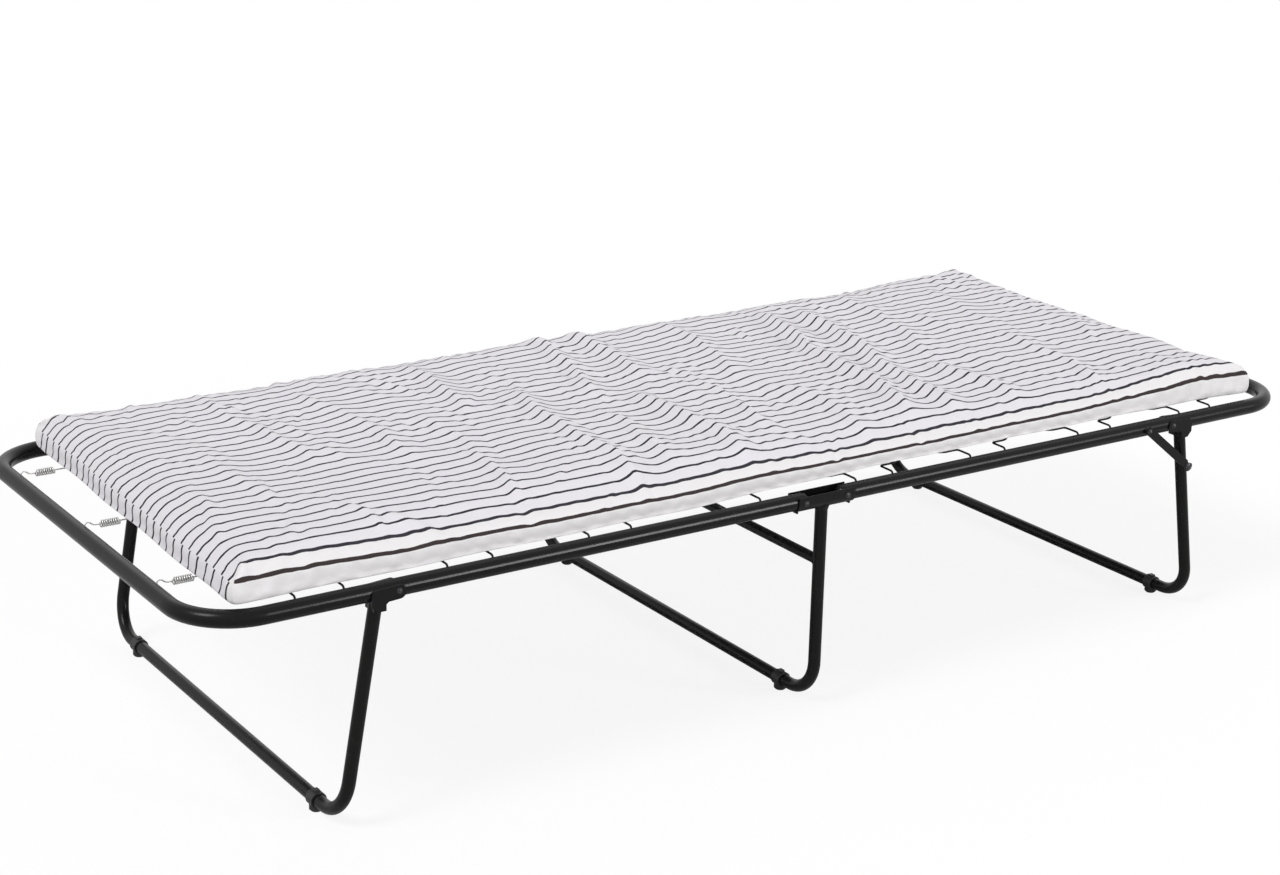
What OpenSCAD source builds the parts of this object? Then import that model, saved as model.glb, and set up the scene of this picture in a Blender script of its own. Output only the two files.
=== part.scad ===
// Folding guest bed: two U shaped half frames of steel tube meet in a pair of
// channel brackets over a fixed centre leg. Each half folds up about its own
// rivets, and each end leg folds in under its half. Wavy wires carry a thin pad.
// Millimetres, +Z up. The origin lies on the floor, midway between the sides and
// under the fold line. The head end is at +X and the near side at -Y.

/* [Frame] */
// Overall length of the frame
bed_l = 2000; // [1800:10:2200]
// Overall width of the frame
bed_w = 810; // [700:5:950]
// Height of the rails' centre line above the floor
rail_z = 338; // [300:2:420]
// Outside diameter of the frame tube
frame_d = 25; // [22:0.5:28]
// Wall of the steel tubes
tube_t = 1.2; // [0.8:0.1:1.6]
// Bend radius of the frame's corners, on the centre line
corner_r = 90; // [70:5:130]

/* [Fold] */
// Distance between the two rows of hinge rivets
hinge_pitch = 77; // [66:1:100]
// Length of a bracket beyond the rivets, each way
bracket_end = 13.5; // [10:0.5:20]
// Sheet of the channel brackets
bracket_t = 1.6; // [1.2:0.1:2.5]
// Clearance between a rail and its bracket
bracket_clear = 0.3; // [0.2:0.05:0.6]
// Height of the bracket's sides above the rail's centre line
bracket_up = 10.5; // [7:0.5:12]
// Diameter of the stop lips under the brackets' ends
lip_d = 4; // [3:0.5:6]

/* [Rivets] */
// Shank diameter of all rivets
rivet_d = 6; // [5:0.5:7]
// Running clearance round a rivet, on the radius
rivet_clear = 0.06; // [0.03:0.01:0.1]
// Head diameter of the rivets
head_d = 9; // [8:0.5:12]
// Head height of the rivets
head_h = 2.4; // [1.5:0.1:3]
// Slack between a rivet's head and a piece that turns on it
head_clear = 0.1; // [0.05:0.05:0.3]

/* [Legs] */
// How much thinner the legs' tube is than the frame's
leg_step = 6; // [4:0.5:8]
// Bend radius of the legs' corners, on the centre line
leg_r = 58; // [45:1:75]
// Distance of the end legs' rivets from the bed's ends
leg_in = 291; // [220:1:380]
// How far outside its rivet an end leg meets the rail's centre line
leg_off = 26; // [25.6:0.1:30]
// Outward lean of the end legs in degrees
leg_lean = 9.9; // [6:0.1:13]
// Outside diameter of the centre leg's cross bar
cross_d = 16; // [12:0.5:19]
// Height of the cross bar above the floor
cross_z = 238; // [150:1:270]
// Height of the weld collars at the top of the centre leg
weld_h = 5; // [2:0.5:8]

/* [Feet] */
// Height of the bars' underside above the floor
foot_lift = 8; // [5:0.5:12]
// Distance of a foot clip in from the rail's centre line
foot_in = 81.5; // [75:0.5:150]
// Width of a foot clip along the bar
foot_l = 18; // [12:1:24]
// Wall of a foot clip's ring
foot_t = 2.4; // [1.6:0.1:3.5]
// Diameter of the bulge that stands on the floor
foot_d = 20; // [16:0.5:22]

/* [Leg saddles] */
// Sheet of the saddles
saddle_t = 2; // [1.5:0.1:3]
// Side clearance between a saddle and the rail
saddle_clear = 0.3; // [0.2:0.05:0.6]
// Length of a saddle from its rivet to its outer edge
saddle_l = 41.5; // [39:0.5:46]
// Depth of a saddle below the rivet
saddle_h = 24; // [22:0.5:25]
// Radius of a saddle's round end about the rivet
saddle_r = 10; // [9:0.25:11]

/* [Stays] */
// Distance from the leg's rivet back to the stay's rivet
stay_back = 56; // [50:1:70]
// Drop from the rail's centre line to the latch stud
stud_drop = 75; // [65:1:90]
// Width of a stay
stay_w = 14; // [12:0.5:18]
// Sheet of a stay
stay_t = 2.4; // [2:0.1:3]
// Gap between a stay and the plane of the saddle's outside
stay_gap = 0.5; // [0.3:0.1:1]
// Diameter of the latch stud
stud_d = 7; // [6:0.5:8]
// Clearance round the latch stud in its notch, on the radius
stud_clear = 0.35; // [0.2:0.05:0.5]

/* [Deck wires] */
// Diameter of the wavy wires
wire_d = 3.2; // [2.6:0.1:3.6]
// Number of half waves in a wire, four times a whole number plus one
wire_bends = 17; // [13:4:21]
// Distance from the last half wave to the wire's hole in the rail
wire_reach = 31; // [25:1:45]
// Number of wires in each half
wires = 8; // [4:2:8]
// Distance of the foot half's first wire from the fold line
wire_foot_x = 88; // [80:1:110]
// Distance of the head half's first wire from the fold line
wire_head_x = 46; // [45:1:70]
// Gap between the rails' tops and the underside of the wires
wire_lift = 0.5; // [0.3:0.1:1]
// Bend radius where a wire turns towards and into the rail
hook_r = 5; // [4:0.5:7]
// Length of a wire's tip inside its hole
hook_tip = 6; // [4:0.5:8]
// Clearance round a wire in its hole, on the radius
hook_clear = 0.05; // [0.03:0.01:0.1]
// How far the hook holes lie inside the tube's centre line
hole_in = 4.5; // [3:0.25:6]

/* [Coil springs] */
// Outside diameter of the coil springs
spring_d = 11; // [9:0.5:13]
// Diameter of their wire
spring_wire = 2; // [1.6:0.1:2.2]
// Number of curls
curls = 9; // [6:1:9]
// Rise of one curl
curl_pitch = 3.2; // [2.8:0.1:4]
// Distance from the hole to the first curl
spring_lead = 22; // [20:1:30]
// Distance from the holes to the outermost wave, at the foot end
spring_foot_l = 90; // [85:1:120]
// Distance from the holes to the outermost wave, at the head end
spring_head_l = 132; // [100:1:150]
// Clearance between a spring's hook and the wire that it holds
grip_clear = 0.15; // [0.1:0.05:0.3]
// How far the hook goes round the wire past its inner side, in degrees
grip_over = 25; // [0:5:30]

/* [Pad] */
// Distance from the frame's foot end to the pad
pad_foot_in = 70; // [60:5:120]
// Distance from the frame's head end to the pad
pad_head_in = 120; // [60:5:160]
// Distance from the frame's sides to the pad
pad_side_in = 15; // [5:1:40]
// Thickness of the pad at its edges
pad_t = 40; // [30:1:60]
// Extra height of the crown in the middle of the pad
pad_crown = 9; // [4:1:15]
// How far the pad's sides draw in between its corners
pad_draw = 5; // [2:0.5:10]
// Half length of the stretch that bends at the fold
fold_l = 190; // [170:5:240]
// Gap under the pad and between its stretches
pad_gap = 0.3; // [0.2:0.05:0.6]

/* [Hidden] */
$fn = 48;
black = [0.07, 0.07, 0.075];
steel = [0.14, 0.14, 0.15];
zinc = [0.72, 0.72, 0.74];
cloth = [0.87, 0.86, 0.91];

pivot_x = hinge_pitch / 2;
rail_y = (bed_w - frame_d) / 2;
end_x = (bed_l - frame_d) / 2;
frame_r = frame_d / 2;
leg_d = frame_d - leg_step;
leg_rad = leg_d / 2;
leg_x = bed_l / 2 - leg_in;
foot_y = rail_y - foot_in;
// The rail ends are balls a little slimmer than the tube, to turn in the trough
ball_r = frame_r - 0.2;
trough_r = frame_r + bracket_clear;
bracket_r = trough_r + bracket_t;
bracket_l = hinge_pitch + 2 * bracket_end;
bore_r = rivet_d / 2 + rivet_clear;

// Layers outward from the rail: saddle, stay, stud head
saddle_in = frame_r + saddle_clear;
saddle_out = saddle_in + saddle_t;
stay_in = saddle_out + stay_gap;
stay_out = stay_in + stay_t;
// Where the web that joins a saddle's plates begins, and how far it stops short of their edge
web_x = 2 * saddle_r;
saddle_nip = 0.4 * saddle_r;

// Every bar has its centre line at the same height
bar_z = foot_lift + leg_rad;
leg_top_x = leg_x + leg_off;
leg_len = (rail_z - bar_z) / cos(leg_lean);
// The leg tube ends just under the saddle's web, whatever its lean
leg_cut = round(10 * (saddle_in + saddle_t + leg_rad * sin(leg_lean)) / cos(leg_lean)) / 10;
leg_foot_x = leg_top_x + (rail_z - bar_z) * tan(leg_lean);

stay_x = leg_x - stay_back;
stud_x = leg_top_x + stud_drop * tan(leg_lean);
stay_l = norm([stud_x - stay_x, stud_drop]);
stay_dip = atan2(stud_drop, stud_x - stay_x);

wire_z = rail_z + frame_r + wire_lift + wire_d / 2;
hole_y = rail_y - hole_in;
hole_x = end_x - hole_in;
// The waves fill the width between the hooks, and the wires share out the length
wire_y = hole_y - wire_reach;
wire_r = wire_y / wire_bends;
foot_pitch = (hole_x - spring_foot_l - wire_r - wire_foot_x) / (wires - 1);
head_pitch = (hole_x - spring_head_l - wire_r - wire_head_x) / (wires - 1);
// Hook side of wire k: +1 away from the middle of its half wave
function wire_x(k, half) = half < 0
    ? -wire_foot_x - (wires - 1 - k) * foot_pitch
    : wire_head_x + k * head_pitch;
function wire_side(k) = k % 2 == 0 ? 1 : -1;

coil_r = (spring_d - spring_wire) / 2;
grip_r = (wire_d + spring_wire) / 2 + grip_clear;
spring_z = wire_z - grip_r;
// The springs pull on every third wave of the outermost wire
spring_y = 12 * wire_r;

// Tubes

// A U lying flat, open towards the fold line
module u_solid(d, half_w, x0, x1, r) {
    for (s = [-1, 1])
        translate([x0, s * half_w, 0])
            rotate([0, 90, 0])
                cylinder(d = d, h = x1 - r - x0);
    for (s = [0, 1])
        mirror([0, s, 0])
            translate([x1 - r, half_w - r, 0])
                rotate_extrude(angle = 90)
                    translate([r, 0])
                        circle(d = d);
    translate([x1, r - half_w, 0])
        rotate([-90, 0, 0])
            cylinder(d = d, h = 2 * (half_w - r));
}

// A pin across the rail at y side s, between two distances from its middle
module cross_pin(x, z, s, inner, outer, d) {
    translate([x, s * rail_y, z])
        rotate([-s * 90, 0, 0])
            translate([0, 0, inner])
                cylinder(d = d, h = outer - inner);
}

// A domed rivet head that starts at distance a outside the rail's middle
module rivet_head(x, z, s, a, d, h) {
    dome = (d * d / 4 + h * h) / (2 * h);
    translate([x, s * rail_y, z])
        rotate([-s * 90, 0, 0])
            translate([0, 0, a])
                intersection() {
                    translate([0, 0, h - dome])
                        sphere(r = dome);
                    cylinder(d = d + 1, h = h + 1);
                }
}

module rivet(x, z, s, inner, outer) {
    cross_pin(x, z, s, -inner, outer, rivet_d);
    rivet_head(x, z, s, outer, head_d, head_h);
    mirror([0, 1, 0])
        translate([0, -2 * s * rail_y, 0])
            rivet_head(x, z, s, inner, head_d, head_h);
}

// A disc that fills from a rivet's head down to the round of a rail or bracket
module seat(x, s, r, a, b, d) {
    difference() {
        cross_pin(x, rail_z, s, a, b, d);
        translate([x - d, s * rail_y, rail_z])
            rotate([0, 90, 0])
                cylinder(r = r, h = 2 * d);
    }
}

module frame_half(half) {
    translate([0, 0, rail_z])
        difference() {
            union() {
                u_solid(frame_d, rail_y, pivot_x, end_x, corner_r);
                for (s = [-1, 1])
                    translate([pivot_x, s * rail_y, 0])
                        sphere(r = ball_r);
            }
            union() {
                u_solid(frame_d - 2 * tube_t, rail_y, pivot_x, end_x, corner_r);
                for (s = [-1, 1])
                    translate([pivot_x, s * rail_y, 0])
                        sphere(r = ball_r - tube_t);
            }
            for (s = [-1, 1]) {
                cross_pin(pivot_x, 0, s, -20, 20, 2 * bore_r);
                cross_pin(leg_x, 0, s, -20, 20, rivet_d);
            }
            cross_pin(stay_x, 0, -1, -20, 20, rivet_d);
            for (k = [0 : wires - 1])
                for (s = [-1, 1])
                    hook_hole(abs(wire_x(k, half)) + half * wire_side(k) * wire_r,
                        half * s * hole_y, wire_d / 2 + hook_clear);
            for (y = [-spring_y, 0, spring_y])
                hook_hole(hole_x, y, spring_wire / 2 + hook_clear);
        }
}

module hook_hole(x, y, r) {
    translate([x, y, 2])
        cylinder(r = r, h = frame_d);
}

// Centre

module centre_leg() {
    color(black)
        difference() {
            union() {
                leg_u(0, rail_y, rail_z - bar_z);
                for (s = [-1, 1])
                    translate([0, s * rail_y, rail_z - bracket_r - weld_h])
                        cylinder(r1 = leg_rad, r2 = leg_rad + weld_h / 2, h = weld_h + 3);
            }
            for (s = [-1, 1]) {
                translate([-bracket_l, s * rail_y, rail_z])
                    rotate([0, 90, 0])
                        cylinder(r = bracket_r, h = 2 * bracket_l);
                translate([0, s * rail_y, bar_z + leg_r])
                    cylinder(d = leg_d - 2 * tube_t, h = rail_z);
            }
        }
}

// An upright U of leg tube that hangs from z = rail_z, its bar len below
module leg_u(cut, half_w, len) {
    translate([0, 0, rail_z])
        difference() {
            leg_solid(leg_d, cut, half_w, len);
            leg_solid(leg_d - 2 * tube_t, cut - 1, half_w, len);
        }
}

module leg_solid(d, cut, half_w, len) {
    rotate([0, 90, 0])
        u_solid(d, half_w, cut, len, leg_r);
}

module cross_bar() {
    color(black)
        difference() {
            translate([0, -rail_y, cross_z])
                rotate([-90, 0, 0])
                    difference() {
                        cylinder(d = cross_d, h = 2 * rail_y);
                        cylinder(d = cross_d - 2 * tube_t, h = 2 * rail_y);
                    }
            for (s = [-1, 1])
                translate([0, s * rail_y, cross_z - cross_d])
                    cylinder(d = leg_d, h = 2 * cross_d);
        }
}

module bracket(s) {
    lip_z = -trough_r - 0.2 - lip_d / 2;
    color(black)
        translate([0, s * rail_y, rail_z])
            difference() {
                union() {
                    rotate([0, 90, 0])
                        cylinder(r = bracket_r, h = bracket_l, center = true);
                    translate([-bracket_l / 2, -bracket_r, 0])
                        cube([bracket_l, 2 * bracket_r, bracket_up]);
                    for (e = [-1, 1])
                        translate([e * (bracket_l / 2 - lip_d), 0, lip_z])
                            rotate([90, 0, 0])
                                cylinder(d = lip_d, h = leg_rad, center = true);
                }
                rotate([0, 90, 0])
                    cylinder(r = trough_r, h = bracket_l + 2, center = true);
                translate([-bracket_l / 2 - 1, -trough_r, 0])
                    cube([bracket_l + 2, 2 * trough_r, frame_d]);
                translate([-bracket_l / 2 - 1, -bracket_r - 1, bracket_up])
                    cube([bracket_l + 2, 2 * bracket_r + 2, frame_d]);
                for (e = [-1, 1])
                    translate([e * pivot_x, 0, 0])
                        rotate([90, 0, 0])
                            cylinder(d = rivet_d, h = frame_d * 2, center = true);
            }
}

module hinge_rivets() {
    top = bracket_r + 0.1;
    color(steel)
        for (s = [-1, 1], e = [-1, 1]) {
            rivet(e * pivot_x, rail_z, s, top, top);
            difference() {
                for (a = [-top, frame_r])
                    seat(e * pivot_x, s, bracket_r, a, a + top - frame_r, head_d);
                translate([e * pivot_x - head_d, s * rail_y - bracket_r, rail_z])
                    cube([2 * head_d, 2 * bracket_r, bracket_up]);
            }
        }
}

// A foot clip: a ring round the bar, a round bulge below and a nib on top
module foot_clip(x, y) {
    translate([x, y, bar_z])
        difference() {
            union() {
                rotate([90, 0, 0])
                    cylinder(r = leg_rad + foot_t, h = foot_l, center = true);
                translate([0, 0, -bar_z])
                    cylinder(d1 = foot_d - 5, d2 = foot_d, h = 2.5);
                translate([0, 0, 2.5 - bar_z])
                    cylinder(d = foot_d, h = bar_z - 2.5);
                translate([-4, -foot_l / 4, 0])
                    cube([8, foot_l / 2, leg_rad + foot_t + 2]);
            }
            rotate([90, 0, 0])
                cylinder(r = leg_rad, h = foot_d * 2, center = true);
        }
}

module feet(x) {
    color(black)
        for (s = [-1, 1])
            foot_clip(x, s * foot_y);
}

// End legs, drawn at the head end

module end_leg() {
    color(black)
        translate([leg_top_x, 0, 0])
            translate([0, 0, rail_z])
                rotate([0, -leg_lean, 0])
                    translate([0, 0, -rail_z])
                        leg_u(leg_cut, rail_y, leg_len);
}

module leg_cylinder(s, d) {
    translate([leg_top_x, s * rail_y, rail_z])
        rotate([0, 180 - leg_lean, 0])
            translate([0, 0, leg_cut])
                cylinder(d = d, h = leg_len - leg_r);
}

module saddle_outline() {
    nose = 0.8 * saddle_r;
    drop = saddle_r / 10;
    translate([0, -drop])
        circle(r = saddle_r);
    translate([saddle_l - nose, -drop])
        circle(r = nose);
    polygon([[0, saddle_r - drop], [saddle_l - nose, nose - drop], [saddle_l, -drop],
        [saddle_l, nose + drop - saddle_h], [saddle_l - nose, -saddle_h],
        [web_x, -saddle_h], [web_x, -saddle_h / 2 - 3 * drop],
        [web_x - 3.5 * drop, -saddle_r - 2 * drop], [0, -saddle_r - drop]]);
}

module saddle(s) {
    color(black)
        difference() {
            union() {
                for (a = [-saddle_out, saddle_in])
                    translate([leg_x, s * rail_y + a, rail_z])
                        rotate([90, 0, 0])
                            translate([0, 0, -saddle_t])
                                linear_extrude(saddle_t)
                                    saddle_outline();
                translate([leg_x + web_x, s * rail_y - saddle_in, rail_z - saddle_h])
                    cube([saddle_l - web_x - saddle_nip, 2 * saddle_in, saddle_h - saddle_in]);
            }
            cross_pin(leg_x, rail_z, s, -frame_d, frame_d, 2 * bore_r);
            leg_cylinder(s, leg_d);
        }
}

module leg_rivets() {
    color(steel)
        for (s = [-1, 1])
            rivet(leg_x, rail_z, s, saddle_out + head_clear, saddle_out + head_clear);
}

// Stays, drawn on the near side of the head leg

module stay_rivet() {
    color(steel) {
        rivet(stay_x, rail_z, -1, frame_r + 0.1, stay_out + head_clear);
        seat(stay_x, -1, frame_r, frame_r - 3, stay_in - head_clear, stay_w);
        seat(stay_x, -1, frame_r, -frame_r - 0.1, 3 - frame_r, head_d);
    }
}

module latch_stud() {
    color(steel)
        difference() {
            union() {
                cross_pin(stud_x, rail_z - stud_drop, -1, leg_rad - 3, stay_in - 0.3,
                    stud_d + 5);
                cross_pin(stud_x, rail_z - stud_drop, -1, stay_in - 0.4,
                    stay_out + 0.5, stud_d);
                rivet_head(stud_x, rail_z - stud_drop, -1, stay_out + 0.4,
                    stud_d + 6, head_h);
            }
            leg_cylinder(-1, leg_d);
        }
}

// The notch is open on the upper, outer side, where the stud leaves it
module stay() {
    seat = stud_d / 2 + stud_clear;
    color(black)
        translate([stay_x, -rail_y - stay_in, rail_z])
            rotate([0, stay_dip, 0])
                rotate([90, 0, 0])
                    difference() {
                        linear_extrude(stay_t)
                            difference() {
                                union() {
                                    circle(d = stay_w);
                                    translate([0, -stay_w / 2])
                                        square([stay_l, stay_w]);
                                    translate([stay_l, 0])
                                        circle(d = stay_w + 3);
                                }
                                translate([stay_l, 0])
                                    circle(r = seat);
                                polygon([[stay_l - seat, 0], [stay_l + seat, 0],
                                    [stay_l + seat, stay_w],
                                    [stay_l - seat - 7, stay_w]]);
                            }
                        translate([0, 0, -1])
                            cylinder(r = bore_r, h = stay_t + 2);
                    }
}

// Deck

module quarter(r, d) {
    rotate_extrude(angle = 90)
        translate([r, 0])
            circle(d = d);
}

// One wavy wire along Y, hooked into both rails on its +X side
module wavy_wire() {
    for (i = [0 : wire_bends - 1])
        translate([0, (2 * i + 1 - wire_bends) * wire_r, 0])
            rotate([0, 0, i % 2 == 0 ? 90 : -90])
                rotate_extrude(angle = 180)
                    translate([wire_r, 0])
                        circle(d = wire_d);
    for (s = [0, 1])
        mirror([0, s, 0])
            wire_end();
}

module wire_end() {
    translate([0, wire_y, 0])
        rotate([0, 90, 0])
            cylinder(d = wire_d, h = wire_r - hook_r);
    translate([wire_r - hook_r, wire_y + hook_r, 0])
        rotate([0, 0, -90])
            quarter(hook_r, wire_d);
    translate([wire_r, wire_y + hook_r, 0])
        rotate([-90, 0, 0])
            cylinder(d = wire_d, h = hole_y - wire_y - 2 * hook_r);
    translate([wire_r, hole_y - hook_r, -hook_r])
        rotate([90, 0, 90])
            quarter(hook_r, wire_d);
    translate([wire_r, hole_y, -hook_r - hook_tip])
        cylinder(d = wire_d, h = hook_tip);
}

module deck(half) {
    color(black)
        for (k = [0 : wires - 1])
            translate([wire_x(k, half), 0, wire_z])
                mirror([wire_side(k) > 0 ? 0 : 1, 0, 0])
                    wavy_wire();
}

// Coil springs, each one unbroken tube along a path of points

function unit(v) = v / norm(v);
function ring_count() = 8;
// The hook from its hole over the tube, in shares of the spring's diameter
function arch() = spring_d * [[0, -0.82], [0, -0.45], [0, -0.14], [0, 0.14], [0.11, 0.38],
    [0.36, 0.48], [0.68, 0.38], [0.95, 0.16], [1.27, 0.03]];
function curl_points(x0) = [for (i = [0 : curls * ring_count()])
    let (a = 360 * i / ring_count(),
        n = curls * ring_count(),
        grow = min(1, i / 3, (n - i) / 3))
    [x0 + i * curl_pitch / ring_count(), grow * coil_r * sin(a), grow * coil_r * cos(a)]];
function grip(x1) = [for (i = [0 : 5])
    let (a = (90 + grip_over) * i / 5 - 90)
    [x1 + grip_r * cos(a), 0, grip_r + grip_r * sin(a)]];
function spring_path(reach) = concat([for (p = arch()) [p[0], 0, p[1]]],
    [[spring_lead - 3, 0, 0]],
    curl_points(spring_lead),
    [[spring_lead + curls * curl_pitch + 3, 0, 0]],
    grip(reach));
function tangents(p) = [for (i = [0 : len(p) - 1])
    unit(p[min(i + 1, len(p) - 1)] - p[max(i - 1, 0)])];
// Each ring's normal is carried on from the ring before it
function normals(t) = [for (i = 0, n = unit(cross(t[0], [0.1, 1, 0.2])); i < len(t);
    i = i + 1, n = i < len(t) ? unit(n - (n * t[i]) * t[i]) : n) n];

module tube_along(p, d, sides) {
    t = tangents(p);
    n = normals(t);
    pts = [for (i = [0 : len(p) - 1], k = [0 : sides - 1])
        let (a = 360 * k / sides)
        p[i] + d / 2 * (cos(a) * n[i] + sin(a) * cross(t[i], n[i]))];
    last = (len(p) - 1) * sides;
    walls = [for (i = [0 : len(p) - 2], k = [0 : sides - 1])
        let (a = i * sides + k, b = i * sides + (k + 1) % sides)
        each [[a, a + sides, b], [b, a + sides, b + sides]]];
    caps = [for (k = [1 : sides - 2])
        each [[0, k, k + 1], [last, last + k + 1, last + k]]];
    polyhedron(points = pts, faces = concat(walls, caps));
}

// Least gap between turns, measured on points that are half a curl or more apart
function self_gap(p) = min([for (i = [0 : len(p) - 2], j = [i + 5 : 1 : len(p) - 1])
    norm(p[i] - p[j])]) - spring_wire;
echo(str("least gap of a coil spring to itself, mm: ",
    min(self_gap(spring_path(spring_foot_l)), self_gap(spring_path(spring_head_l)))));

module springs(half) {
    color(zinc)
        for (y = [-spring_y, 0, spring_y])
            translate([half * hole_x, y, spring_z])
                rotate([0, 0, half < 0 ? 0 : 180])
                    tube_along(spring_path(half < 0 ? spring_foot_l : spring_head_l),
                        spring_wire, 6);
}

// Pad

pad_z = wire_z + wire_d / 2 + pad_gap;
pad_foot = pad_foot_in - bed_l / 2;
pad_head = bed_l / 2 - pad_head_in;
pad_l = pad_head - pad_foot;
pad_w = bed_w - 2 * pad_side_in;
// Across: shares of the half width under the pad and over it
across = [-0.94, -0.63, -0.32, 0, 0.32, 0.63, 0.94];
end_round = pad_t;
side_in = 0.075 * pad_t;

// How full a cross-section is at distance e from a closed end: 0 to 1
function fullness(e) = e >= end_round ? 1 : sqrt(1 - pow(1 - max(e, 0) / end_round, 2));
function pad_ring(x, e) = let (
    f = fullness(e),
    w = pad_w / 2 - 0.65 * pad_t * (1 - f) - pad_draw * sin(180 * (x - pad_foot) / pad_l),
    low = 0.175 * pad_t * (1 - f),
    top = pad_t * (0.7 + 0.3 * f),
    crown = pad_crown * (0.25 + 0.75 * min(1, max(e, 0) / (5 * end_round)))
        * (1 + 0.15 * sin(1.9 * x) - 0.12 * cos(0.83 * x)))
    concat([for (u = across) [x, u * w, low]],
        [[x, w - side_in, low + 0.2 * pad_t], [x, w, pad_t / 2],
            [x, w - 0.125 * pad_t, top - 0.125 * pad_t]],
        [for (i = [6 : -1 : 0]) [x, across[i] * w,
            top + crown * (1 - pow(across[i], 2))]],
        [[x, 0.125 * pad_t - w, top - 0.125 * pad_t], [x, -w, pad_t / 2],
            [x, side_in - w, low + 0.2 * pad_t]]);

// Stations along a stretch that is closed and rounded at its outer end
function pad_steps(a, b) = concat([for (k = [0, 0.05, 0.2, 0.5, 1]) a + k * end_round],
    [for (i = [1 : 10]) a + end_round + (b - a - end_round) * i / 10]);

module pad_loft(xs, closed, flip) {
    n = 20;
    pts = [for (x = xs) each pad_ring(x, closed == 0 ? pad_l : abs(x - closed))];
    m = len(xs) - 1;
    a_mid = len(pts);
    walls = [for (i = [0 : m - 1], k = [0 : n - 1])
        let (a = i * n + k, b = i * n + (k + 1) % n)
        each [[a, a + n, b], [b, a + n, b + n]]];
    caps = [for (k = [0 : n - 1])
        each [[a_mid, k, (k + 1) % n], [a_mid + 1, m * n + (k + 1) % n, m * n + k]]];
    tri = concat(walls, caps);
    color(cloth)
        translate([0, 0, pad_z])
            polyhedron(points = concat(pts, [[xs[0], 0, pad_t / 2], [xs[m], 0, pad_t / 2]]),
                faces = flip ? [for (f = tri) [f[0], f[2], f[1]]] : tri);
}

// Nodes

module mattress_fold() {
    pad_loft([for (i = [-3 : 3]) i * (fold_l - pad_gap) / 3], 0, false);
}

module mattress_foot() {
    pad_loft(pad_steps(pad_foot, -fold_l), pad_foot, false);
}

module mattress_head() {
    steps = pad_steps(-pad_head, -fold_l);
    pad_loft([for (x = steps) -x], pad_head, true);
}

module at_foot() {
    rotate([0, 0, 180])
        children();
}

module frame_foot() {
    color(black)
        at_foot()
            frame_half(-1);
}

module frame_head() {
    color(black)
        frame_half(1);
}

centre_leg();
cross_bar();
bracket(-1);  // bracket_near
bracket(1);  // bracket_far
hinge_rivets();
feet(0);  // feet_centre
mattress_fold();
frame_foot();
deck(-1);  // deck_foot
springs(-1);  // springs_foot
mattress_foot();
at_foot() leg_rivets();  // leg_rivets_foot
at_foot() stay_rivet();  // stay_rivet_foot
frame_head();
deck(1);  // deck_head
springs(1);  // springs_head
mattress_head();
leg_rivets();  // leg_rivets_head
stay_rivet();  // stay_rivet_head
at_foot() end_leg();  // leg_foot
at_foot() saddle(1);  // saddle_foot_near
at_foot() saddle(-1);  // saddle_foot_far
at_foot() feet(leg_foot_x);  // feet_foot
at_foot() latch_stud();  // stud_foot
end_leg();  // leg_head
saddle(-1);  // saddle_head_near
saddle(1);  // saddle_head_far
feet(leg_foot_x);  // feet_head
latch_stud();  // stud_head
at_foot() stay();  // stay_foot
stay();  // stay_head
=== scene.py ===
# %% [markdown]
# # A folding guest bed
#
# The steel frame of this bed comes from the construction model: bent tubes, channel brackets,
# folding legs, latch stays and wavy wires. This lesson gives those pieces their paint and plating,
# and makes what a construction model can't hold: the soft striped pad, the wound coil
# springs, the weld beads and the small marks that tools leave.

import math

import bpy
import bmesh
import numpy as np
from mathutils import Matrix, Vector


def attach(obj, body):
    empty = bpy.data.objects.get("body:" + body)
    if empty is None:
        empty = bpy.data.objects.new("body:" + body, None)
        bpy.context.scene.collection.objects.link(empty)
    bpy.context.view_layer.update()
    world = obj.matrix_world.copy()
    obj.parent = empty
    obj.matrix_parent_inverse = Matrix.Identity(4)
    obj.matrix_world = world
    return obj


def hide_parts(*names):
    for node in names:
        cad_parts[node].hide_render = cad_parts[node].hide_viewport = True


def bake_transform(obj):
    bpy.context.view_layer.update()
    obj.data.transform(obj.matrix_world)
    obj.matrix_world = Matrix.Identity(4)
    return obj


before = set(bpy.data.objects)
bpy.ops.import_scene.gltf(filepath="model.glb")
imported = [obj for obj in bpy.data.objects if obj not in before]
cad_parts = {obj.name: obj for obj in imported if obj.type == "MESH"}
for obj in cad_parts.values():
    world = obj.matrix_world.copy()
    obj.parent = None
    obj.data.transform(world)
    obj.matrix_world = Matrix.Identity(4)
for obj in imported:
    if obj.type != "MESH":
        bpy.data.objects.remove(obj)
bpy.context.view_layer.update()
MM = 0.001

# %% [markdown]
# ## The camera
#
# The photograph was taken from the near left of the foot end, a little above the bed. Its place and
# focal length were solved from the edges of the tubes, so the render can be laid over the
# photograph. It fits best at the legs, and worst at the foot end tube, which lands up to 23 pixels
# too far left. The image is 1280 pixels wide, and a focal length in pixels is scaled to Blender's
# 36 mm sensor.

# %% Camera
CAMERA_AT = (-2.09908, -3.03221, 1.51857)
AZIMUTH = math.radians(-33.907)
ELEVATION = math.radians(18.036)
ROLL = math.radians(1.198)
FOCAL_PIXELS = 2418.9
IMAGE_WIDTH = 1280

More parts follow.
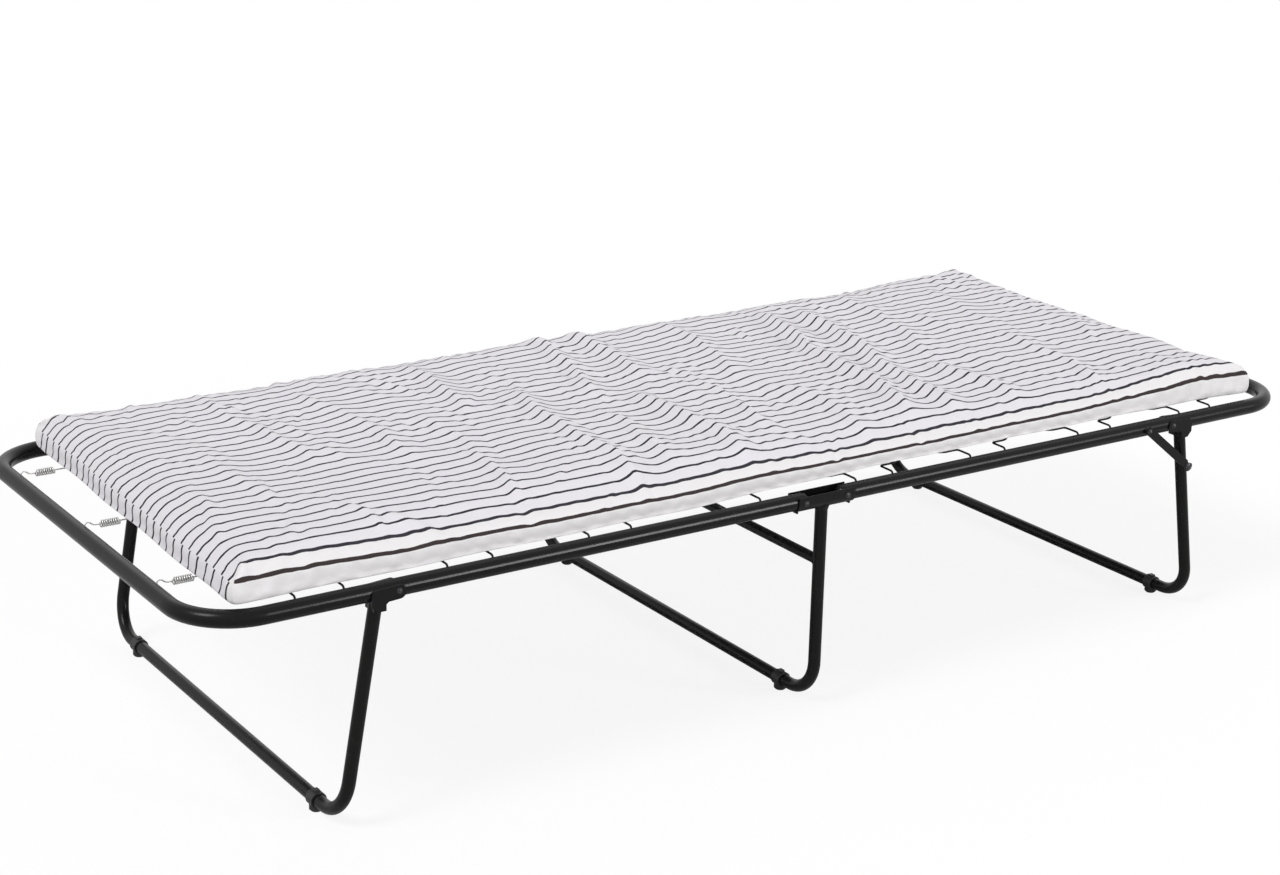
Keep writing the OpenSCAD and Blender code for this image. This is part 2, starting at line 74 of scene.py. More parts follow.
camera = bpy.data.objects.new("camera", bpy.data.cameras.new("camera"))
bpy.context.scene.collection.objects.link(camera)
camera.matrix_world = (
    Matrix.Translation(CAMERA_AT)
    @ Matrix.Rotation(AZIMUTH, 4, "Z")
    @ Matrix.Rotation(math.pi / 2 - ELEVATION, 4, "X")
    @ Matrix.Rotation(ROLL, 4, "Z")
)
camera.data.lens = FOCAL_PIXELS * camera.data.sensor_width / IMAGE_WIDTH
bpy.context.scene.camera = camera
print("camera lens:", round(camera.data.lens, 1), "mm")

# %% [markdown]
# ## Shader sums
#
# A material is a sum over a surface: a colour, plus a little more where the grain is high, less in
# a stripe. Written as nodes that is hard to read, so one small class wraps a socket and lets
# Python's own signs add the Math nodes. A second class holds the material while it is made.

# %% A socket that can be used in sums
class Signal:
    """A shader output. 1 - stripe or 0.3 * grain + 0.1 adds the Math nodes."""

    def __init__(self, finish, socket):
        self.finish = finish
        self.socket = socket

    def math(self, operation, *values):
        sockets = dict(enumerate(values))
        return self.finish.node("Math", {"operation": operation}, sockets)

    def __add__(self, other):
        return self.math("ADD", self, other)

    def __sub__(self, other):
        return self.math("SUBTRACT", self, other)

    def __rsub__(self, other):
        return self.math("SUBTRACT", other, self)

    def __mul__(self, other):
        return self.math("MULTIPLY", self, other)

    def __truediv__(self, other):
        return self.math("DIVIDE", self, other)

    def __gt__(self, other):
        return self.math("GREATER_THAN", self, other)

    def __lt__(self, other):
        return self.math("LESS_THAN", self, other)

    def __abs__(self):
        return self.math("ABSOLUTE", self)

    __radd__ = __add__
    __rmul__ = __mul__

# %% A material while it is made
class Finish:
    """One material. node() adds any node; feed() joins a signal to the shader."""

    def __init__(self, name, fixed):
        self.material = bpy.data.materials.new(name)
        self.material.use_nodes = True
        self.tree = self.material.node_tree
        self.shader = self.tree.nodes["Principled BSDF"]
        for socket, value in fixed.items():
            self.shader.inputs[socket].default_value = value

    def node(self, kind, settings=None, sockets=None, output=0):
        made = self.tree.nodes.new("ShaderNode" + kind)
        for key, value in (settings or {}).items():
            setattr(made, key, value)
        for key, value in (sockets or {}).items():
            if isinstance(value, Signal):
                self.tree.links.new(value.socket, made.inputs[key])
            else:
                made.inputs[key].default_value = value
        return Signal(self, made.outputs[output])

    def feed(self, socket, signal):
        self.tree.links.new(signal.socket, self.shader.inputs[socket])

    def place(self, scale=(1, 1, 1)):
        """Where a point of the piece is, in metres, stretched by scale."""
        spot = self.node("TexCoord", output=3)
        if scale == (1, 1, 1):
            return spot
        return self.node("VectorMath", {"operation": "MULTIPLY"}, {0: spot, 1: scale})

    def noise(self, spot, per_metre, detail=2.0):
        """Cloudy noise from 0 to 1, about 0.5 on average."""
        return self.node("TexNoise", {}, {
            "Vector": spot, "Scale": per_metre, "Detail": detail})

    def ramp(self, value, low, high):
        """0 where value is under low, 1 over high, and smooth between."""
        return self.node("MapRange", {"interpolation_type": "SMOOTHSTEP"}, {
            "Value": value, "From Min": low, "From Max": high})

    def colour(self, share, first, second):
        """first where share is 0, second where it is 1."""
        mixed = {0: share}
        for key, value in ((6, first), (7, second)):
            mixed[key] = value if isinstance(value, Signal) else (*value, 1)
        return self.node("Mix", {"data_type": "RGBA"}, mixed, output=2)

    def bump(self, height, depth, under=None):
        """Turns a height signal into dents depth metres deep."""
        sockets = {"Height": height, "Distance": depth, "Strength": 1.0}
        if under:
            sockets["Normal"] = under
        return self.node("Bump", {}, sockets)

# %% [markdown]
# ## Light and floor
#
# A studio shot of a dark steel frame needs large soft sources, because a black tube shows only what
# it reflects. The sky of the world is a plain white that lights from all round. A key lamp beyond
# the foot end models the ridges of the cover, a front lamp draws the long highlight along the near
# rail, and a weaker one lifts the far side. All are suns, whose light doesn't fall off, so the pale
# floor stays even to the horizon. Their wide angle makes the shadow soft. Cameras see the floor as
# a mix of its lit surface and plain white, which keeps the shadow but makes it faint, as in the
# photograph.

# %% Sky
world = bpy.data.worlds.new("studio")
bpy.context.scene.world = world
world.use_nodes = True
sky = world.node_tree
background = sky.nodes["Background"]
ray = sky.nodes.new("ShaderNodeLightPath")
SKY_LIGHT = 0.4
seen = sky.nodes.new("ShaderNodeMath")
seen.operation = "MAXIMUM"
sky.links.new(ray.outputs["Is Camera Ray"], seen.inputs[0])
glossy = sky.nodes.new("ShaderNodeMath")
glossy.operation = "MAXIMUM"
sky.links.new(ray.outputs["Is Glossy Ray"], glossy.inputs[0])
sky.links.new(ray.outputs["Is Transmission Ray"], glossy.inputs[1])
sky.links.new(glossy.outputs[0], seen.inputs[1])
strength = sky.nodes.new("ShaderNodeMapRange")
sky.links.new(seen.outputs[0], strength.inputs["Value"])
strength.inputs["To Min"].default_value = SKY_LIGHT
strength.inputs["To Max"].default_value = 1.0
sky.links.new(strength.outputs[0], background.inputs["Strength"])
background.inputs["Color"].default_value = (1, 1, 1, 1)
bpy.context.scene.view_settings.view_transform = "Standard"

# %% Lamps
def soft_sun(name, direction, spread, strength):
    """Light from one side of the sky, softened over an angle of spread degrees."""
    lamp = bpy.data.lights.new(name, "SUN")
    lamp.angle = math.radians(spread)
    lamp.energy = strength
    holder = bpy.data.objects.new(name, lamp)
    bpy.context.scene.collection.objects.link(holder)
    holder.rotation_mode = "QUATERNION"
    holder.rotation_quaternion = Vector(direction).to_track_quat("Z", "Y")


soft_sun("key_lamp", (-0.8, -0.1, 1.0), 22, 1.7)
soft_sun("front_lamp", (0.53, -0.79, 0.3), 14, 1.25)
soft_sun("back_lamp", (0.6, 0.8, 0.9), 60, 0.3)

# %% Floor
FLOOR_DROP = 0.0004
FLOOR_HALF = 60
SHADOW_SHARE = 0.14
floor_mesh = bpy.data.meshes.new("floor")
floor_corners = [(x * FLOOR_HALF, y * FLOOR_HALF, -FLOOR_DROP)
                 for x, y in ((-1, -1), (1, -1), (1, 1), (-1, 1))]
floor_mesh.from_pydata(floor_corners, [], [(0, 1, 2, 3)])
floor = bpy.data.objects.new("floor", floor_mesh)
bpy.context.scene.collection.objects.link(floor)
floor_finish = Finish("pale_floor", {"Roughness": 0.9, "Specular IOR Level": 0.0})
seen_by_camera = floor_finish.node("LightPath")
floor_finish.feed("Base Color", floor_finish.colour(seen_by_camera, (0.8, 0.8, 0.8), (1, 1, 1)))
plain_white = floor_finish.node("Emission", {}, {"Color": (1, 1, 1, 1)})
mixed = floor_finish.node("MixShader", {}, {
    0: seen_by_camera * (1 - SHADOW_SHARE), 2: plain_white})
floor_finish.tree.links.new(floor_finish.shader.outputs[0], mixed.socket.node.inputs[1])
floor_finish.tree.links.new(
    mixed.socket, floor_finish.tree.nodes["Material Output"].inputs["Surface"])
floor_mesh.materials.append(floor_finish.material)

# %% [markdown]
# ## Powder coat
#
# The tubes are powder coated. The powder melts into a film about 0.08 mm thick that never lies
# quite level: it has an orange peel of shallow waves about a millimetre across. Cloudy patches and
# small specks make it a little rougher here and there, and handling leaves fine rubs. A pure black
# would lose all of that, so the colour is a very dark grey.

# %% Painted steel
def painted(name, dark, pale, roughness, peel_depth, rub):
    """A black coat: orange peel, a few soft specks, and rubs that are rougher and paler."""
    coat = Finish(name, {"IOR": 1.5, "Specular IOR Level": 0.16})
    spot = coat.place()
    peel = coat.noise(spot, 620)
    cloud = coat.noise(spot, 9, 4)
    specks = coat.ramp(coat.noise(spot, 900, 1), 0.66, 0.74)
    rubs = coat.ramp(coat.noise(coat.place((1, 0.22, 1)), 210, 3), 0.6, 0.78)
    rubbed = rubs * coat.ramp(cloud, 0.45, 0.7) * rub
    coat.feed("Base Color", coat.colour(rubbed + 0.25 * specks, dark, pale))
    coat.feed("Roughness", roughness + 0.12 * (cloud - 0.5) + 0.22 * rubbed + 0.08 * specks)
    coat.feed("Normal", coat.bump(peel + 0.4 * specks, peel_depth))
    return coat.material

# Each coat's dark and pale colour, roughness, depth of the orange peel, and share of rubs
COATS = {
    "frame_paint": ((0.004, 0.004, 0.0045), (0.03, 0.029, 0.028), 0.25, 9e-6, 0.6),
    "leg_paint": ((0.004, 0.0038, 0.0036), (0.028, 0.026, 0.025), 0.28, 1.1e-5, 0.8),
    "sheet_paint": ((0.005, 0.0048, 0.0046), (0.035, 0.033, 0.031), 0.33, 1.4e-5, 1.0),
    "wire_paint": ((0.004, 0.004, 0.0045), (0.03, 0.03, 0.03), 0.25, 7e-6, 0.4),
}
finishes = {name: painted(name, *values) for name, values in COATS.items()}
print("coats:", sorted(finishes))

# %% [markdown]
# ## Bare and plated metal
#
# The rivets are blackened steel with a fine grain, worn smoother and paler in patches. The coil
# springs are drawn wire with a bright zinc plate: drawing leaves lines along the wire, and the
# passivation tints it faintly yellow and blue.

# %% Rivet steel and zinc
def blackened():
    steel = Finish("rivet_steel", {"Metallic": 1.0})
    spot = steel.place()
    wear = steel.ramp(steel.noise(spot, 420, 3), 0.5, 0.72)
    steel.feed("Base Color", steel.colour(wear, (0.045, 0.045, 0.05), (0.16, 0.155, 0.15)))
    steel.feed("Roughness", 0.46 - 0.14 * wear)
    steel.feed("Normal", steel.bump(steel.noise(spot, 1500), 1.5e-5))
    return steel.material


def zinc_plate():
    plate = Finish("zinc", {"Metallic": 1.0})
    spot = plate.place()
    tint = plate.noise(spot, 160, 3)
    dull = plate.ramp(plate.noise(spot, 330, 3), 0.42, 0.68)
    colour = plate.colour(tint, (0.5, 0.51, 0.55), (0.62, 0.6, 0.54))
    plate.feed("Base Color", plate.colour(0.35 * dull, colour, (0.3, 0.3, 0.31)))
    plate.feed("Roughness", 0.24 + 0.2 * dull)
    drawn = plate.noise(plate.place((0.15, 1, 1)), 2600, 1)
    plate.feed("Normal", plate.bump(drawn, 8e-6))
    return plate.material


finishes["rivet_steel"] = blackened()
finishes["zinc"] = zinc_plate()

# %% [markdown]
# ## Moulded clips
#
# The six feet are polyethylene clips. A spark eroded mould gives them a fine even grain, and the
# floor scuffs the grain pale at the bottom.

# %% Clip plastic
def clip_plastic():
    plastic = Finish("clip_plastic", {"IOR": 1.5, "Specular IOR Level": 0.4})
    spot = plastic.place()
    height = plastic.node("SeparateXYZ", {}, {0: spot}, output=2)
    grain = plastic.noise(spot, 1900, 2)
    low = 1 - plastic.ramp(height, 0.0005, 0.004)
    scuff = plastic.ramp(plastic.noise(plastic.place((1, 0.3, 1)), 500, 3), 0.45, 0.65) * low
    plastic.feed("Base Color", plastic.colour(scuff, (0.017, 0.017, 0.017), (0.09, 0.088, 0.084)))
    plastic.feed("Roughness", 0.5 + 0.2 * scuff + 0.1 * (grain - 0.5))
    plastic.feed("Normal", plastic.bump(grain, 3e-5))
    return plastic.material


finishes["clip_plastic"] = clip_plastic()

# %% Dress the frame
def slot_of(name):
    """The finish of a node, from the words in its name."""
    words = {
        "deck": "wire_paint", "springs": "zinc", "feet": "clip_plastic", "stud": "rivet_steel",
        "hinge_rivets": "rivet_steel", "leg_rivets": "rivet_steel", "stay_rivet": "rivet_steel",
        "saddle": "sheet_paint", "bracket": "sheet_paint", "stay": "sheet_paint",
        "frame": "frame_paint", "leg": "leg_paint", "centre_leg": "leg_paint",
        "cross_bar": "leg_paint",
    }
    for start, finish in words.items():
        if name.startswith(start):
            return finish
    return None


for name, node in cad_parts.items():
    chosen = slot_of(name)
    if chosen:
        node.data.materials.clear()
        node.data.materials.append(finishes[chosen])
print("dressed:", sum(1 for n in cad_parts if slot_of(n)), "nodes")

# %% [markdown]
# ## The pad: how the cover lies before it is filled
#
# The pad is one foam slab in a sewn cover: a striped panel above and below, and a boxing strip
# round the side. A plain rounded box would look like a block of wood, so the cover is laid out
# first as flat panels, on a grid that is close at the seams. Each point remembers where it lay, in
# an attribute called laid. The print and the weave read that attribute, so the stripes stay on
# their threads when the cloth is puffed and wrinkled.

# %% Lay out the panels
PAD_Z = 354.5
PAD_ENDS = (-938.0, 908.0)
PAD_HALF = 384.0
PAD_DEEP = 38.0
GRID_STEP = 10
SEAM_STEPS = np.array([0.0, 3.0, 7.0, 13.0])


def close_at_seams(low, high, step, seam_low, seam_high):
    """Places from low to high: even steps, and closer ones where a seam is."""
    first = low + SEAM_STEPS if seam_low else np.array([low])
    last = high - SEAM_STEPS[::-1] if seam_high else np.array([high])
    count = round((last[0] - first[-1]) / step) + 1
    return np.concatenate([first[:-1], np.linspace(first[-1], last[0], count), last[1:]])


along = np.concatenate([
    close_at_seams(PAD_ENDS[0], 0, GRID_STEP, True, False),
    close_at_seams(0, PAD_ENDS[1], GRID_STEP, False, True)[1:],
])
across = close_at_seams(-PAD_HALF, PAD_HALF, GRID_STEP, True, True)
up = np.array([0.0, 3.5, 9.0, 16.0, 23.0, 30.0, 35.0, PAD_DEEP])
grid = np.stack(np.meshgrid(along, across, up, indexing="ij"), -1)
skin = np.zeros(grid.shape[:3], bool)
for axis in range(3):
    for end in (0, -1):
        skin[(slice(None),) * axis + (end,)] = True
number = np.full(skin.shape, -1)
number[skin] = np.arange(skin.sum())
laid = grid[skin]
print("cover:", len(laid), "points")

# %% Join them with faces
def panel_faces(number):
    """Quads over the six sides of the grid, wound outward."""
    faces = []
    for axis in range(3):
        for end in (0, -1):
            side = np.take(number, end, axis=axis)
            quad = np.stack([side[:-1, :-1], side[1:, :-1], side[1:, 1:], side[:-1, 1:]], -1)
            quad = quad.reshape(-1, 4)
            outward = (end == -1) != (axis == 1)
            faces.append(quad if outward else quad[:, ::-1])
    return np.concatenate(faces)


pad_faces = panel_faces(number)
print("faces:", len(pad_faces))

# %% [markdown]
# ## Rounding the edges
#
# The cover's upright corners are round, the long seams are fairly tight, and both ends roll over
# softly. Each is the same small step: the square corner of a cross-section is pulled back onto an
# arc, as a compass would draw it.

# %% Outline and edges
CORNER = 14.0
UPPER_FROM = 16


def smooth(t):
    """0 to 1 with level ends."""
    t = np.clip(t, 0, 1)
    return t * t * (3 - 2 * t)


def round_outline(x, y):
    """The plan with round corners, the outward direction, and the depth inside the outline."""
    middle = sum(PAD_ENDS) / 2
    half = (PAD_ENDS[1] - PAD_ENDS[0]) / 2
    core_x = np.clip(x - middle, CORNER - half, half - CORNER)
    core_y = np.clip(y, CORNER - PAD_HALF, PAD_HALF - CORNER)
    dx, dy = x - middle - core_x, y - core_y
    reach = np.maximum(abs(dx), abs(dy))
    length = np.maximum(np.hypot(dx, dy), 1e-9)
    plan = np.stack([middle + core_x + dx * reach / length, core_y + dy * reach / length], -1)
    return plan, np.stack([dx, dy], -1) / length[:, None], CORNER - reach


def round_edges(points):
    """The laid panels as a box with soft edges."""
    x, y, z = points.T
    plan, outward, depth = round_outline(x, y)
    end_share = outward[:, 0] ** 2
    upper = z > UPPER_FROM
    lifted = smooth((x + 250) / 200) * (y < 0)
    radius = np.where(upper, 9 + 10 * end_share, 5 + 3 * lifted * (1 - end_share))
    gap = np.where(upper, PAD_DEEP - z, z)
    near = (depth < radius) & (gap < radius)
    away, over = radius - depth, radius - gap
    share = np.where(near, radius / np.maximum(np.hypot(away, over), 1e-9), 1)
    new_depth = np.where(near, radius - away * share, depth)
    new_gap = np.where(near, radius - over * share, gap)
    plan = plan - outward * (new_depth - depth)[:, None]
    height = np.where(upper, PAD_DEEP - new_gap, new_gap)
    return np.column_stack([plan, height])


pad = round_edges(laid)
print("rounded:", pad.min(0).round(1), pad.max(0).round(1))

# %% [markdown]
# ## Crown, sag and ridges
#
# Foam that is sewn in stands highest in the middle and falls off within a hand's width of the
# seams. Along the near side the seam isn't level: it dips between the wires and lifts at the head.
# The cover is longer than the foam, so it has slipped into ridges that run across the bed. Their
# places were read off the photograph: each line is x and y where a ridge starts, where it ends, and
# how high it is.

# %% The near edge
SEAM_X = [-938, -844, -700, -547, -387, -218, -40, 148, 346, 556, 778, 879]
SEAM_HIGH = [38, 36, 31, 33, 29, 29, 33, 31, 33, 37, 47, 44]
LIFT_X = [-938, -217, -40, 148, 556, 782, 884]
LIFT_HIGH = [0, 0, 4, 7, 8, 7, 3]


def near_edge(points):
    """Heights along the near side, fading out towards the middle of the bed."""
    x, y, z = points.T
    lift = np.interp(x, LIFT_X, LIFT_HIGH)
    seam = np.interp(x, SEAM_X, SEAM_HIGH)
    wanted = lift + (seam - lift) * z / PAD_DEEP
    return z + (wanted - z) * smooth((-250 - y) / 140)


# %% Ridges across the bed
RIDGES = [
    (-84, 334, -128, 30, 10), (-264, 77, -293, -348, 9), (-9, 328, -15, 72, 9),
    (47, 76, 12, -230, 9), (-82, -29, -98, -344, 10), (350, 258, 241, -286, 12),
    (428, 229, 309, -313, 12), (440, -135, 434, -324, 9), (-647, 150, -619, -57, 7),
    (-690, 273, -667, -44, 7), (-334, 292, -362, 62, 9), (175, 314, 121, 9, 6),
    (559, 296, 482, -61, 6), (659, -57, 614, -324, 6), (726, 252, 689, 23, 4),
    (-437, 35, -463, -313, 5), (-546, 225, -527, -103, 5), (-185, -76, -203, -309, 6),
    (150, -127, 126, -352, 5), (-804, 83, -783, -185, 4), (831, 185, 806, -113, 3),
]


def ridge_height(x, y, steep=11, gentle=27):
    """All the ridges: steep on the foot side, gentle on the head side, with a dip behind."""
    total = np.zeros_like(x)
    for x0, y0, x1, y1, high in RIDGES:
        t = (y0 - y) / (y0 - y1)
        wander = 7 * np.sin(y / 61 + x0) + 3 * np.sin(y / 23 + 2 * x0)
        off = x - (x0 + (x1 - x0) * np.clip(t, -0.2, 1.2)) - wander
        width = np.where(off < 0, steep, gentle)
        shape = np.exp(-(off / width) ** 2)
        shape -= 0.35 * np.exp(-((off - 1.8 * gentle) / gentle) ** 2)
        length = abs(y0 - y1)
        ends = smooth((t * length + 55) / 90) * smooth(((1 - t) * length + 55) / 90)
        total += high * shape * ends
    return total


# %% Raise the top
# Past the fold the cover stays lower, or it would meet the first wire of the other half
FOLD_ROOM = 0.5
CROWN = 10
HEAD_RISE = 9
SLOPE = 70


def raise_top(points, start):
    """Adds the crown, the long soft waves and the ridges to the upper panel."""
    x, y, z = points.T
    depth = np.minimum(PAD_HALF - abs(start[:, 1]),
                       np.minimum(start[:, 0] - PAD_ENDS[0], PAD_ENDS[1] - start[:, 0]))
    share = start[:, 2] / PAD_DEEP
    crown = CROWN * (1 - (1 - np.clip(depth / SLOPE, 0, 1)) ** 2)
    waves = 1.8 * np.sin(x / 83 + y / 190) + 1.4 * np.sin(x / 47 - y / 130 + 1)
    waves += 0.9 * np.sin(x / 21 + y / 55 + 2) * smooth(depth / 40)
    edge = 0.3 + 0.7 * smooth(depth / 55)
    head_rise = HEAD_RISE * (1 - np.clip(depth / SLOPE, 0, 1)) ** 2 * smooth((x - 560) / 300)
    head_rise *= smooth((y + 320) / 150)
    added = crown + head_rise + (waves + ridge_height(x, y)) * edge
    added *= 1 - FOLD_ROOM * smooth((x - 5) / 30) * smooth((140 - x) / 50)
    return np.column_stack([x, y, z + added * smooth((share - 0.35) / 0.65)])


pad[:, 2] = near_edge(pad)
pad = raise_top(pad, laid)
print("raised: top at", round(PAD_Z + pad[:, 2].max(), 1), "mm")

# %% Draw in the sides and gather the boxing
SKEW = 0.022
FAR_FOOT_IN = 18.0


def draw_in(points, start):
    """The long sides pull in between the corners, the strip gathers, and the pad lies askew."""
    x, y, z = points.T
    share = start[:, 2] / PAD_DEEP
    side = smooth((abs(start[:, 1]) - PAD_HALF + 20) / 20)
    end = smooth((20 - np.minimum(start[:, 0] - PAD_ENDS[0], PAD_ENDS[1] - start[:, 0])) / 20)
    run = (x - PAD_ENDS[0]) / (PAD_ENDS[1] - PAD_ENDS[0])
    bulge = 2.2 * np.sin(math.pi * share)
    gather = 1.0 * np.sin(x / 9.5 + 2 * np.sin(x / 71)) * (1 - share) * share * 4
    gather += 1.6 * np.sin(x / 37 + 1.3)
    pull = 5 * np.sin(math.pi * run)
    new_y = y + np.sign(y) * (side * (bulge + gather) - pull * abs(y) / PAD_HALF)
    furrow = 0.9 * np.sin(y / 10 + 2 * np.sin(y / 57)) * share * (1 - share) * 4
    middle = sum(PAD_ENDS) / 2
    new_x = x + np.sign(x - middle) * end * (bulge + furrow + 1.5 * np.sin(y / 41))
    new_x += SKEW * (y + PAD_HALF)
    new_y -= FAR_FOOT_IN * smooth(y / PAD_HALF) * smooth((-200 - x) / 700)
    return np.column_stack([new_x, new_y, z])


pad = draw_in(pad, laid)
pad[:, 2] += PAD_Z
print("drawn in:", pad.min(0).round(1), pad.max(0).round(1))

# %% Make the cover's mesh
cover_mesh = bpy.data.meshes.new("pad_cover")
cover_mesh.from_pydata((pad * MM).tolist(), [], pad_faces.tolist())
cover_mesh.validate()
remembered = cover_mesh.attributes.new("laid", "FLOAT_VECTOR", "POINT")
remembered.data.foreach_set("vector", (laid * MM).astype(np.float32).ravel())
cover = bpy.data.objects.new("pad_cover", cover_mesh)
bpy.context.scene.collection.objects.link(cover)
print("cover mesh:", len(cover_mesh.polygons), "faces")

# %% [markdown]
# ## Filling it
#
# Blender's cloth solver blows the cover up a little from inside, with gravity off, and it does what
# given waves can't: it evens the tension, so that the cloth pulls into small creases at the
# seams and between the ridges. The underside rests on the wires and is pinned. A cap on how far any
# point may go keeps the ridges where they are.

# %% Read and write a mesh as an array
def points_of(mesh):
    flat = np.empty(len(mesh.vertices) * 3, np.float32)
    mesh.vertices.foreach_get("co", flat)
    return flat.reshape(-1, 3).astype(float)


def set_points(mesh, points):
    mesh.vertices.foreach_set("co", np.asarray(points, np.float32).ravel())
    mesh.update()


# %% Blow the cover up
FRAMES = 16
CAP = 0.006


def fill(piece, resting):
    """Runs the cloth solver, then applies each point's move, no further than the cap."""
    group = piece.vertex_groups.new(name="resting")
    group.add([int(i) for i in np.flatnonzero(resting)], 1.0, "REPLACE")
    cloth = piece.modifiers.new("fill", "CLOTH")
    cloth.settings.quality = 4
    cloth.settings.mass = 0.25
    cloth.settings.tension_stiffness = 30
    cloth.settings.compression_stiffness = 12
    cloth.settings.shear_stiffness = 8
    cloth.settings.bending_stiffness = 0.6
    cloth.settings.use_pressure = True
    cloth.settings.uniform_pressure_force = 3.0
    cloth.settings.shrink_min = -0.012
    cloth.settings.effector_weights.gravity = 0
    cloth.settings.vertex_group_mass = "resting"
    cloth.collision_settings.use_collision = False
    cloth.point_cache.frame_end = FRAMES
    before = points_of(piece.data)
    scene = bpy.context.scene
    for step in range(1, FRAMES + 1):
        scene.frame_set(step)
    moved = piece.evaluated_get(bpy.context.evaluated_depsgraph_get())
    move = points_of(moved.to_mesh()) - before
    moved.to_mesh_clear()
    piece.modifiers.remove(cloth)
    piece.vertex_groups.clear()
    scene.frame_set(1)
    length = np.linalg.norm(move, axis=1)
    move *= np.minimum(1, CAP / np.maximum(length, 1e-9))[:, None]
    set_points(piece.data, before + move)
    print("filled: moved", round(1000 * length.mean(), 1), "mm on average,",
          round(1000 * length.max(), 1), "mm at most")


fill(cover, laid[:, 2] < 0.5)

# %% Short creases and gathers
CREASES = 520
CREASE_SEED = 5


def creases(laid_at):
    """Moves in millimetres that crumple the cover: short kinks on top, gathers at the seams."""
    x, y, z = laid_at.T
    chance = np.random.default_rng(CREASE_SEED)
    total = np.zeros_like(x)
    for _ in range(CREASES):
        at_x, at_y = chance.uniform(*PAD_ENDS), chance.uniform(-PAD_HALF, PAD_HALF)
        length = chance.uniform(25, 120)
        lean = chance.normal(0, 0.35)
        high = chance.uniform(0.7, 2.2) * chance.choice((-1, 1, 1))
        width = chance.uniform(5, 10)
        off = x - at_x - lean * (y - at_y)
        here = (abs(off) < 30) & (abs(y - at_y) < length)
        run = (y[here] - at_y) / length
        shape_here = off[here] + 5 * run * run
        total[here] += high * (np.exp(-(shape_here / width) ** 2)
                               - 0.5 * np.exp(-((shape_here - 1.8 * width) / width) ** 2)
                               ) * (1 - run * run) ** 2
    total += 0.24 * ridge_height(x, y, 5, 7)
    to_side = PAD_HALF - abs(y)
    pucker = np.sin(x / 4.6 + 2.2 * np.sin(x / 37) + np.sign(y)) * np.exp(-to_side / 22)
    total += 1.1 * pucker * (to_side > 1)
    on_top = smooth((z - 0.7 * PAD_DEEP) / (0.3 * PAD_DEEP))
    on_side = smooth((3 - to_side) / 3) * np.sin(math.pi * np.clip(z / PAD_DEEP, 0, 1))
    drawn = 1.2 * np.sin(x / 5.1 + 1.7 * np.sin(x / 43)) * (1.4 - z / PAD_DEEP)
    return np.column_stack([0 * x, np.sign(y) * drawn * on_side, total * on_top])


# %% Subdivide once and lay it on the wires
cover.modifiers.new("finer", "SUBSURF").levels = 1
finer = cover.evaluated_get(bpy.context.evaluated_depsgraph_get())
fine_mesh = bpy.data.meshes.new_from_object(finer)
cover.modifiers.clear()
cover.data = fine_mesh
shape = points_of(fine_mesh)
fine_laid = np.empty(len(shape) * 3, np.float32)
fine_mesh.attributes["laid"].data.foreach_get("vector", fine_laid)
fine_laid = fine_laid.reshape(-1, 3).astype(float) / MM
shape += MM * creases(fine_laid)
shape[:, 2] = np.maximum(shape[:, 2], PAD_Z * MM)
set_points(fine_mesh, shape)
for face in fine_mesh.polygons:
    face.use_smooth = True
print("fine cover:", len(fine_mesh.polygons), "faces, top at",
      round(1000 * shape[:, 2].max(), 1), "mm")

# %% [markdown]
# ## Two halves
#
# The bed folds at two pins, 77 mm apart, so the pad is cut at the middle of the bed, where
# neither half moves.
# The halves keep the normals of the whole, so no line shows where they meet.

# %% Cut it at the fold
def half_of(whole, keep_low, name):
    """One side of the pad, closed at the cut, with the whole's normals."""
    normals = [v.normal.copy() for v in whole.data.vertices]
    shape = bmesh.new()
    shape.from_mesh(whole.data)
    spot = shape.verts.layers.float_vector["laid"]
    tag = shape.verts.layers.int.new("old_number")
    for vert in shape.verts:
        vert[tag] = vert.index
    sign = 1 if keep_low else -1
    gone = [f for f in shape.faces
            if sign * sum(v[spot].x for v in f.verts) / len(f.verts) > 0]
    bmesh.ops.delete(shape, geom=gone, context="FACES")
    rim = [e for e in shape.edges if e.is_boundary]
    cap = bmesh.ops.contextual_create(shape, geom=rim)["faces"]
    for face in cap:
        face.smooth = False
    old = [v[tag] for v in shape.verts]
    shape.verts.layers.int.remove(tag)
    bmesh.ops.recalc_face_normals(shape, faces=shape.faces)
    mesh = bpy.data.meshes.new(name)
    shape.to_mesh(mesh)
    shape.free()
    mesh.normals_split_custom_set_from_vertices([normals[i] for i in old])
    piece = bpy.data.objects.new(name, mesh)
    bpy.context.scene.collection.objects.link(piece)
    print(name, "has", len(mesh.polygons), "faces, rim", len(rim), "edges, cap", len(cap))
    return piece


pad_foot = half_of(cover, True, "pad_foot")
pad_head = half_of(cover, False, "pad_head")
bpy.data.objects.remove(cover)

# %% [markdown]
# ## Woven cover
#
# The cloth is a plain cotton weave, pale lilac where the thin navy stripes are printed and whiter
# in the bands along the sides. A brown black stripe follows the upper seam of the boxing. Where the
# boxing's stripes meet those of the top at the ends they miss by a few millimetres, because the
# strip was cut from another part of the cloth. The yarn is uneven, which shows as short slubs.

# %% Cover cloth
STRIPE_PITCH = 0.0258
FIRST_STRIPE = -0.361
LAST_STRIPE = 0.3614
YARN = 0.0008


